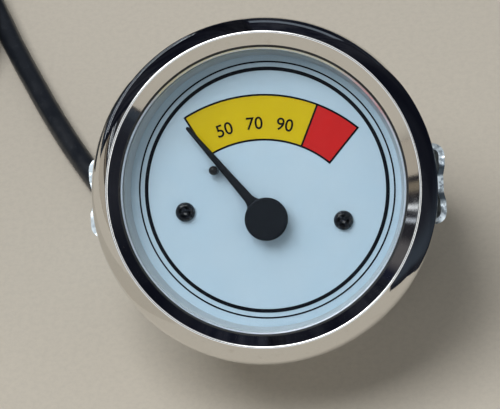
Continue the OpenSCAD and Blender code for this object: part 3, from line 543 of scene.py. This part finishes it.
def stroke(p, q, width, z):
    """Straight line with square ends."""
    d = Vector((q[0] - p[0], q[1] - p[1])).normalized()
    s = Vector((-d.y, d.x)) * width / 2
    e = d * width / 2
    corners = [(p[0] - e.x - s.x, p[1] - e.y - s.y), (q[0] + e.x - s.x, q[1] + e.y - s.y),
               (q[0] + e.x + s.x, q[1] + e.y + s.y), (p[0] - e.x + s.x, p[1] - e.y + s.y)]
    return [(x, y, z) for x, y in corners], [(0, 1, 2, 3)]


def polar(c, r, a):
    """Point at an angle clockwise from 12 o'clock, around c."""
    return (c[0] + r * math.sin(math.radians(a)), c[1] + r * math.cos(math.radians(a)))


def print_piece(name, parts, material):
    piece = new_object(name, mesh_from(name, *joined(parts), DIAL), material)


def angle_on_band(point):
    """Angle of a point clockwise from 12 o'clock, around the band's centre."""
    return math.degrees(math.atan2(point[0] - BAND[0], point[1] - BAND[1]))


def field(a0_out, a0_in, a1, z):
    """Part of the coloured band, whose left end may lean."""
    verts = []
    for i in range(FIELD_STEPS + 1):
        t = i / FIELD_STEPS
        verts += [(*polar(BAND, FIELD_IN, a0_in + (a1 - a0_in) * t), z),
                  (*polar(BAND, FIELD_OUT, a0_out + (a1 - a0_out) * t), z)]
    return verts, strip_quads(FIELD_STEPS)


def make_print():
    low, high = DIAL_TOP + INK, DIAL_TOP + 2 * INK
    left_out, left_in = polar(LEFT_EDGE, 22.6, -41.3), (-10.32, 5.72)
    a_out, a_in = angle_on_band(left_out), angle_on_band(left_in)
    print_piece("print_yellow", [field(a_out, a_in, FIELD_SPLIT, low)], M["ink_yellow"])
    print_piece("print_red", [field(FIELD_SPLIT, FIELD_SPLIT, FIELD_RIGHT, low)], M["ink_red"])
    half = FIELD_LINE / 2
    lines = [flat_ring(*BAND, r - half, r + half, a, FIELD_RIGHT, high, 96)
             for r, a in ((FIELD_OUT, a_out), (FIELD_IN, a_in))]
    lines.append(stroke(left_out, left_in, FIELD_LINE, high))
    for a in (FIELD_SPLIT, FIELD_RIGHT):
        lines.append(stroke(polar(BAND, FIELD_OUT, a), polar(BAND, FIELD_IN, a), FIELD_LINE, high))
    lines += [flat_ring(*PRINT_MIDDLE, *radii, 0, 360, high, 192) for radii in RINGS]
    print_piece("print_lines", lines, M["ink_black"])


def make_number(text, name, turn):
    """Upright plain number on the band, as a flat mesh."""
    data = bpy.data.curves.new(name, "FONT")
    data.body = text
    data.size = NUMBER_SIZE
    data.align_x = "CENTER"
    data.align_y = "CENTER"
    data.resolution_u = 6
    data.offset = NUMBER_BOLD
    probe = bpy.data.objects.new(name + "_outline", data)
    scene.collection.objects.link(probe)
    graph = bpy.context.evaluated_depsgraph_get()
    mesh = bpy.data.meshes.new_from_object(probe.evaluated_get(graph))
    bpy.data.objects.remove(probe)
    bpy.data.curves.remove(data)
    mesh.transform(on_dial(*polar(BAND, NUMBER_R, turn), DIAL_TOP + 2 * INK, -turn))
    piece = new_object(name, mesh, M["ink_black"])


make_print()
for number in NUMBERS:
    make_number(*number)


# Pointer: the CAD blade with a chamfered edge and a tighter flare into its hub
PIVOT = (0.6, -4.85)
ARM_Z, ARM_T, REST_ANGLE = -1.2, 0.5, 44.1
# Distance from the pivot and half the width there
BLADE = [(0.0, 0.83), (5.2, 0.80), (6.0, 0.77), (8.0, 0.68), (10.0, 0.62), (12.5, 0.56),
         (14.0, 0.525), (17.0, 0.43), (19.0, 0.375), (20.8, 0.33)]
ROOT, FLARE_LENGTH, FLARE = 3.03, 2.1, 0.92
# Inset of the outline and height, from the underside to the top
CHAMFER = ((0.03, 0), (0, 0.04), (0, ARM_T - 0.14), (0.05, ARM_T - 0.05), (0.16, ARM_T))
# Ring under the hub that sits on the spindle: radius and height
BOSS = [(0.6, -0.8), (1.4, -0.8), (1.4, 0.1), (0.6, 0.1)]


def blade_half(r):
    """Half the blade's width at a distance from the pivot."""
    k = next((i for i in range(1, len(BLADE)) if r <= BLADE[i][0]), len(BLADE) - 1)
    (r0, w0), (r1, w1) = BLADE[k - 1], BLADE[k]
    flare = max(0.0, 1 - (r - ROOT) / FLARE_LENGTH)
    return w0 + (w1 - w0) * (r - r0) / (r1 - r0) + FLARE * flare ** 2.2


def pointer_outline():
    """Outline of the blade and its hub, from the right of the blade's root, with the tip at +y."""
    end, tip_r = BLADE[-1]
    side = [(blade_half(r), r) for r in [ROOT + (end - ROOT) * (i / 40) ** 1.5 for i in range(41)]]
    tip = arc(0, end, tip_r, 0, 180, 14)[1:-1]
    start = math.degrees(math.atan2(ROOT, side[0][0]))
    hub = arc(0, 0, math.hypot(*side[0]), 180 - start, 360 + start, 80)[1:-1]
    return side + tip + [(-x, y) for x, y in reversed(side)] + hub


def make_pointer():
    outline = pointer_outline()
    count = len(outline)
    normals = []
    for i in range(count):
        d = (Vector(outline[(i + 1) % count]) - Vector(outline[i - 1])).normalized()
        normals.append(Vector((d.y, -d.x)))
    verts = []
    for inset, z in CHAMFER:
        verts += [(x - n.x * inset, y - n.y * inset, z) for (x, y), n in zip(outline, normals)]
    faces = wall_quads(len(CHAMFER), count)
    faces += [tuple(range(count)), tuple(range(len(verts) - count, len(verts)))]
    parts = [(verts, faces), turned(BOSS, 48)]
    mesh = mesh_from("pointer_blade", *joined(parts), on_dial(*PIVOT, ARM_Z, REST_ANGLE))
    pointer = new_object("pointer_blade", mesh, M["pointer_black"], body_of("pointer"))
    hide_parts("pointer")


make_pointer()


# Dial screws: pan heads whose cross recess has sloping walls and a softened rim
SCREWS = (("dial_screw_left", -13.8, 30.0), ("dial_screw_right", 13.8, 39.0))
SCREW_DROP = -4.4
HEAD_TOP = 1.12
RECESS_END, RECESS_SIDE, RECESS_WAIST = 1.0, 0.22, 0.55
RECESS_DEPTH, RECESS_WALL, RECESS_EDGE = 0.75, 0.16, 0.04
CONE_DEPTH, CONE_R = 0.12, 0.45


def recess_depth(x, y):
    """Depth of the cross recess below the head at a point, in millimetres."""
    a = math.atan2(y, x) % (math.pi / 2)
    r = math.hypot(x, y)
    a = min(a, math.pi / 2 - a)
    x, y = r * math.cos(a), r * math.sin(a)
    corner = (RECESS_WAIST * math.cos(math.pi / 4), RECESS_WAIST * math.sin(math.pi / 4))
    d = Vector((RECESS_END - corner[0], RECESS_SIDE - corner[1])).normalized()
    flank = (corner[0] - x) * d.y - (corner[1] - y) * d.x
    t = min(max((min(flank, RECESS_END - x) + RECESS_EDGE) / RECESS_WALL, 0), 1)
    cone = min(max((CONE_R - r) / CONE_R, 0), 1)
    return RECESS_DEPTH * t * t * (3 - 2 * t) + CONE_DEPTH * cone


def screw_head(name, x, turn):
    rings = [(r / 100, HEAD_TOP - 0.04 * (r / 97) ** 2) for r in range(3, 99, 3)]
    rings += curve((1.0, 1.075), (1.48, 1.04), (1.68, 0.45), 12)
    rings += [(1.7, 0.36), (1.7, 0.02), (1.15, 0.005), (1.15, -2.9)]
    steps = 160
    verts, faces = [(0, 0, HEAD_TOP - recess_depth(0, 0))], []
    for r, z in rings:
        for i in range(steps):
            a = 2 * math.pi * i / steps
            px, py = r * math.cos(a), r * math.sin(a)
            verts.append((px, py, z - recess_depth(px, py) if r < 1 else z))
    for i in range(steps):
        j = (i + 1) % steps
        faces.append((0, 1 + i, 1 + j))
        for k in range(len(rings) - 1):
            inner, outer = 1 + k * steps, 1 + (k + 1) * steps
            faces.append((inner + i, outer + i, outer + j, inner + j))
    faces.append(tuple(1 + (len(rings) - 1) * steps + i for i in range(steps)))
    mesh = mesh_from(name, verts, faces, on_dial(x, SCREW_DROP, DIAL_TOP, turn), 50)
    screw = new_object(name, mesh, M["black_oxide"])
    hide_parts("dial_screws")


for screw in SCREWS:
    screw_head(*screw)


# Capillary: one sheathed cord, from the boot along the surface and through the coil's two layers to
# the bulb. LEAD and TAIL are the points that the CAD model's cord goes through.
LEAD = [(-20.3, 6.34, 5.02), (-22.83, 7.01, 4.5), (-25.2, 8.12, 3.82), (-27.34, 9.62, 3.12),
        (-29.19, 11.47, 2.58), (-30.69, 13.61, 2.27), (-31.8, 15.98, 2.13), (-32.5, 18.6, 2.1),
        (-33.3, 22.3, 2.1), (-34.6, 26, 2.1), (-36.4, 29.6, 2.1), (-38.4, 33, 2.1),
        (-40.4, 36.4, 2.1), (-42.4, 39.9, 2.1), (-44.3, 43.4, 2.1), (-46.6, 47.8, 2.1),
        (-48.8, 52.2, 2.1), (-50.9, 56.6, 2.1), (-53, 61, 2.1), (-55.1, 65.5, 2.1),
        (-57.2, 70.1, 2.2), (-59.2, 74.7, 2.4), (-61, 78.9, 2.6)]
TAIL = [(-124, 49.6, 6.9), (-121.8, 44.6, 5.5), (-119.6, 39.6, 3.6), (-117.4, 34.8, 2.4),
        (-115.2, 30.4, 2.4), (-113, 26.4, 3.8), (-110.8, 22.6, 6.1), (-108.4, 18.9, 8.4)]
COIL_AT = (-96, 72)
COIL_START, COIL_R, COIL_PITCH, COIL_TURNS, COIL_DIP = 24, 25.55, 4.62, 4, 0.95
COIL_Z = 0.7 + CORD_R
COIL_STEPS = 72
BULB = (-106, 15.6, 9.827)
BULB_HEADING, BULB_PITCH = -57, 4.3045
IN_FERRULE = 2.5
STRAP_NEAR, STRAP_FAR, STRAP_LOW, STRAP_HIGH = 14.76, 33.77, 0.65, 9.62
STRAP_TURN, STRAP_HALF, STRAP_THICK, STRAP_BEND = 294, 2.0, 0.28, 0.3


def coil_point(turn):
    """Point of the coil's centre line, a number of turns from its start."""
    inner = COIL_R - COIL_PITCH * COIL_TURNS / 2
    outer = COIL_R + COIL_PITCH * COIL_TURNS / 2
    over = min(max((turn - COIL_TURNS) / 0.5, 0), 1)
    if turn < COIL_TURNS:
        r = outer - COIL_PITCH * turn
    else:
        dip = COIL_DIP * math.sin(math.pi * over)
        r = inner + COIL_PITCH * max(0, turn - COIL_TURNS - 0.5) - dip
    a = math.radians(COIL_START + 360 * turn)
    z = COIL_Z + COIL_PITCH * (1 - math.cos(math.pi * over)) / 2
    return Vector((COIL_AT[0] + r * math.cos(a), COIL_AT[1] + r * math.sin(a), z))


def smooth_line(points, steps):
    """Catmull-Rom curve through the points."""
    out = []
    for i in range(len(points) - 1):
        p0 = points[max(i - 1, 0)]
        p1, p2 = points[i], points[i + 1]
        p3 = points[min(i + 2, len(points) - 1)]
        for k in range(steps):
            t = k / steps
            out.append(0.5 * ((2 * p1) + (p2 - p0) * t + (2 * p0 - 5 * p1 + 4 * p2 - p3) * t * t
                              + (3 * p1 - p0 - 3 * p2 + p3) * t ** 3))
    out.append(points[-1])
    return out


def make_cord():
    start = Vector(BOOT_END)
    turns = 2 * COIL_TURNS + 0.5
    heading_in, heading_out = (Vector((-math.sin(a), math.cos(a), 0))
                               for a in map(math.radians, (COIL_START, COIL_START + 360 * turns)))
    entry = coil_point(0) - CORD_D * heading_in
    leave = coil_point(turns) + CORD_D * heading_out
    h, p = math.radians(BULB_HEADING), math.radians(BULB_PITCH)
    along = Vector((math.cos(h) * math.cos(p), math.sin(h) * math.cos(p), -math.sin(p)))
    bulb = Vector(BULB)
    lead = [start, start + Vector((-CORD_D, 0, 0)), *map(Vector, LEAD), entry, coil_point(0)]
    coil = [coil_point(i / COIL_STEPS) for i in range(1, int(turns * COIL_STEPS))]
    tail = [coil_point(turns), leave, *map(Vector, TAIL), bulb, bulb + IN_FERRULE * along]
    line = [v / 1000 for v in smooth_line(lead, 6) + coil + smooth_line(tail, 6)]
    data = bpy.data.curves.new("capillary_sheath", "CURVE")
    data.dimensions = "3D"
    data.bevel_depth = CORD_R / 1000
    data.bevel_resolution = 5
    data.use_fill_caps = True
    spline = data.splines.new("POLY")
    spline.points.add(len(line) - 1)
    for point, v in zip(spline.points, line):
        point.co = (*v, 1)
    spline.use_smooth = True
    cord = new_object("capillary_sheath", data, M["cord_black"])
    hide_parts("capillary_lead", "capillary_coil", "capillary_tail")
    return cord


def make_strap():
    """Woven strap around the coil's turns: a flat band with thinned edges."""
    path = []
    for x, z, a in ((STRAP_NEAR, STRAP_LOW, 180), (STRAP_FAR, STRAP_LOW, 270),
                    (STRAP_FAR, STRAP_HIGH, 0), (STRAP_NEAR, STRAP_HIGH, 90)):
        path += arc(x, z, STRAP_BEND, a, a + 90, 6)
    place = Matrix.Translation((COIL_AT[0] / 1000, COIL_AT[1] / 1000, 0))
    place = place @ Matrix.Rotation(math.radians(STRAP_TURN), 4, "Z") @ Matrix.Scale(0.001, 4)
    verts = []
    edge, flat, thick = STRAP_HALF, STRAP_HALF - 0.25, STRAP_THICK
    section = [(-edge, 0), (-flat, thick), (flat, thick), (edge, 0), (flat, -thick),
               (-flat, -thick)]
    for i, (x, z) in enumerate(path):
        a, b = path[i - 1], path[(i + 1) % len(path)]
        n = Vector((b[1] - a[1], a[0] - b[0])).normalized()
        for y, out in section:
            verts.append((x + n.x * out, y, z + n.y * out))
    mesh = mesh_from("coil_strap", verts, ring_quads(len(path), len(section)), place)
    strap = new_object("coil_strap", mesh, M["tie_fibre"])
    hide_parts("coil_tie")
    return strap


cord = make_cord()
strap = make_strap()


# Stage: pale floor and soft light, with black flags, a dark room and faint cards around them that
# only the reflections see
def stage_material(name, color, glow=0.0):
    """Matt surface of nearly one colour, which may also glow."""
    s = Surface(name, color, roughness=0.9)
    s.color(s.mix(s.ramp(s.noise(900, 5, 0.7), 0.35, 0.7), color, tuple(0.94 * c for c in color)))
    s.set("Specular IOR Level", 0.0)
    if glow:
        s.set("Emission Color", (*color, 1))
        s.set("Emission Strength", glow)
    return s


def stage_object(name, verts, faces, surface, reflected_only=False):
    mesh = bpy.data.meshes.new(name)
    mesh.from_pydata(verts, [], faces)
    obj = bpy.data.objects.new(name, mesh)
    obj.data.materials.append(surface.mat)
    scene.collection.objects.link(obj)
    if reflected_only:
        obj.visible_camera = False
        obj.visible_diffuse = False
        obj.visible_shadow = False
        obj.visible_transmission = False
    return obj


def screen(name, line, low, high, surface):
    """Upright screen that follows a line on the floor."""
    verts = [(x, y, z) for x, y in line for z in (low, high)]
    faces = [(2 * i, 2 * i + 2, 2 * i + 3, 2 * i + 1) for i in range(len(line) - 1)]
    return stage_object(name, verts, faces, surface, True)


# Where the flat glass's reflection of the camera looks to, from the middle of the dial
MIRROR = Vector((-0.1045, -0.69, 0.716)).normalized()
EYE = Vector((0, 0, 0.036))


def dome(name, low, high, radius, surface):
    """Part of a dome around the direction that the flat glass reflects, between two angles."""
    side = MIRROR.cross(Vector((0, 0, 1))).normalized()
    up = side.cross(MIRROR)
    rows, steps = 8, 48
    verts = []
    for k in range(rows + 1):
        t = math.radians(low + (high - low) * k / rows)
        for i in range(steps):
            a = 2 * math.pi * i / steps
            across = math.cos(a) * side + math.sin(a) * up
            verts.append(EYE + radius * (math.cos(t) * MIRROR + math.sin(t) * across))
    return stage_object(name, verts, wall_quads(rows + 1, steps), surface, True)


NIGHT = (0.012, 0.014, 0.026)


def flag_material():
    """Black cloth with soft streaks and, low down, a paler bluish stripe of painted light for the
    chrome to reflect.
    """
    s = Surface("flag_black", NIGHT, roughness=0.95, Specular_IOR_Level=0.0)
    z = s.split()["Z"]
    # Painted light: a paler, bluish band low on the flags, which the chrome reflects as a soft line
    # of light
    stripe = s.math("MULTIPLY", s.ramp(z, 0.004, 0.012), s.ramp(z, 0.016, 0.034, 1.0, 0.0))
    streaks = s.ramp(s.noise(14, 3, 0.6, vector=s.mapped((1, 1, 0.25))), 0.35, 0.75)
    soft = s.mix(streaks, (0.010, 0.012, 0.024), (0.05, 0.055, 0.075))
    s.color(s.mix(s.math("MULTIPLY", stripe, 0.7), soft, (0.10, 0.13, 0.18)))
    return s


ROOM_TOP = 0.3
ROOM_DARK = (0.02, 0.02, 0.025)
# Painted bands of the glowing room screen from the floor up: lowest and highest level in metres,
# and colour
ROOM = (
    (0.000, 0.078, (0.42, 0.38, 0.32)),
    (0.082, 0.088, ROOM_DARK),
    (0.094, 0.104, (0.20, 0.17, 0.13)),
    (0.110, 0.129, ROOM_DARK),
    (0.132, 0.137, (0.9, 0.95, 1.0)),
    (0.140, 0.154, ROOM_DARK),
    (0.157, 0.161, (0.5, 0.55, 0.62)),
    (0.164, 0.192, ROOM_DARK),
    (0.212, 0.252, (0.10, 0.095, 0.10)),
    (0.282, 0.282, NIGHT),
)


def room_material():
    """Glowing painted reflection far to the left: floor, a dark room and two slits of window light.
    """
    s = Surface("room_reflection_glow", (0.0, 0.0, 0.0), roughness=1.0, Specular_IOR_Level=0.0,
                Emission_Strength=1.0)
    ramp = s.node("ShaderNodeValToRGB")
    stops = [(level, shade) for low, high, shade in ROOM for level in sorted({low, high})]
    elements = ramp.color_ramp.elements
    for level, shade in stops[2:]:
        elements.new(level / ROOM_TOP)
    for element, (level, shade) in zip(elements, stops):
        element.position = level / ROOM_TOP
        element.color = (*shade, 1)
    s.link(s.math("DIVIDE", s.split()["Z"], ROOM_TOP), ramp.inputs["Fac"])
    s.link(ramp.outputs["Color"], s.shader.inputs["Emission Color"])
    return s


# Upright flags: name, line on the floor and height
FLAGS = (
    ("flag_front_right", [(0.42, -0.34), (0.11, -0.10), (0.063, -0.054)], 0.3),
    ("flag_right", [(0.063, -0.054), (0.059, -0.029), (0.045, -0.008), (0.043, 0.02),
                    (0.046, 0.055), (0.13, 0.07)], 0.1),
    ("flag_back_right", [(0.13, 0.07), (0.13, 0.3)], 0.32),
    ("flag_left", [(-0.045, 0.3), (-0.045, 0.118), (-0.14, 0.118), (-0.45, 0.16)], 0.42),
    ("flag_back", [(-0.5, 0.32), (0.0, 0.34), (0.5, 0.32)], 0.62),
)
# Cards of faint light: name, line on the floor, lowest and highest level
SHELF = [(-0.047, 0.114), (-0.25, 0.114)]
CARDS = (
    ("card_low", SHELF, 0.030, 0.0335),
    ("card_high", SHELF, 0.046, 0.0495),
)
FLOOR_HALF = 3.0


def make_stage():
    a = FLOOR_HALF
    corners = [(-a, -a, 0), (a, -a, 0), (a, a, 0), (-a, a, 0)]
    floor = stage_material("floor_pale", (0.78, 0.71, 0.60))
    floor.bump(floor.noise(1500, 4, 0.6), 0.00003, 0.3)
    stage_object("floor", corners, [(0, 1, 2, 3)], floor)
    # Painted reflection: a floor-coloured sheet that only the reflections see
    # hides the brass bulb from the bezel's reflection of the floor
    slope = ((-0.050, 0.0002), (-0.074, 0.016), (-0.15, 0.022))
    cover = [(x, y, z) for y in (-0.06, 0.03) for x, z in slope]
    stage_object("floor_cover", cover, [(0, 1, 4, 3), (1, 2, 5, 4)], floor, True)

    black = flag_material()
    for name, line, top in FLAGS:
        screen(name, line, 0, top, black)
    screen("room_reflection_glow", [(-0.45, 0.16), (-0.45, -0.16)], 0, 0.4, room_material())
    dome("flag_front", 0, 13, 1.9, black).visible_transmission = True

    glow = stage_material("card_glow", (0.62, 0.70, 0.82), 0.7)
    for card in CARDS:
        screen(*card, glow)
    faint = stage_material("card_faint", (0.10, 0.12, 0.15), 0.8)
    screen("card_back", [(-0.04, 0.30), (0.12, 0.30)], 0.075, 0.14, faint)
    dome("card_sky", 11, 48, 1.6, stage_material("sky_glow", (0.90, 0.95, 1.0), 0.8))


# Colour and strength of the even light, and of the paler one that the opaque surfaces mirror
EVEN_LIGHT = (0.60, 0.62, 0.64), 0.27
MIRRORED_LIGHT = (0.92, 0.95, 1.0), 0.62
# Lamps: name, direction, distance, size, power and colour
LAMP_TARGET = Vector((0, 0, 0.035))
LAMPS = (
    ("overhead", (-0.30, -0.12, 0.94), 1.0, (0.6, 0.6), 5.7, (0.96, 0.98, 1.0)),
    ("fill", (0.7, -0.5, 0.5), 0.95, (0.5, 0.5), 0.8, (1.0, 0.98, 0.95)),
)


def make_world():
    world = bpy.data.worlds.new("studio")
    scene.world = world
    world.use_nodes = True
    tree = world.node_tree
    plain, pale = tree.nodes["Background"], tree.nodes.new("ShaderNodeBackground")
    for node, (color, strength) in ((plain, EVEN_LIGHT), (pale, MIRRORED_LIGHT)):
        node.inputs["Color"].default_value = (*color, 1)
        node.inputs["Strength"].default_value = strength
    path = tree.nodes.new("ShaderNodeLightPath")
    mix = tree.nodes.new("ShaderNodeMixShader")
    reflected = tree.nodes.new("ShaderNodeMath")
    reflected.operation = "SUBTRACT"
    reflected.use_clamp = True
    tree.links.new(path.outputs["Is Glossy Ray"], reflected.inputs[0])
    tree.links.new(path.outputs["Is Transmission Ray"], reflected.inputs[1])
    tree.links.new(reflected.outputs[0], mix.inputs[0])
    tree.links.new(plain.outputs[0], mix.inputs[1])
    tree.links.new(pale.outputs[0], mix.inputs[2])
    tree.links.new(mix.outputs[0], tree.nodes["World Output"].inputs["Surface"])


def soft_light(name, direction, distance, size, power, color):
    """Rectangular lamp that faces the target from a direction."""
    data = bpy.data.lights.new(name, "AREA")
    data.shape = "RECTANGLE"
    data.size, data.size_y = size
    data.energy = power
    data.color = color
    lamp = bpy.data.objects.new(name, data)
    lamp.location = LAMP_TARGET + Vector(direction).normalized() * distance
    lamp.rotation_euler = Vector(direction).to_track_quat("Z", "Y").to_euler()
    scene.collection.objects.link(lamp)


make_stage()
make_world()
for lamp in LAMPS:
    soft_light(*lamp)

scene.view_settings.view_transform = "Standard"
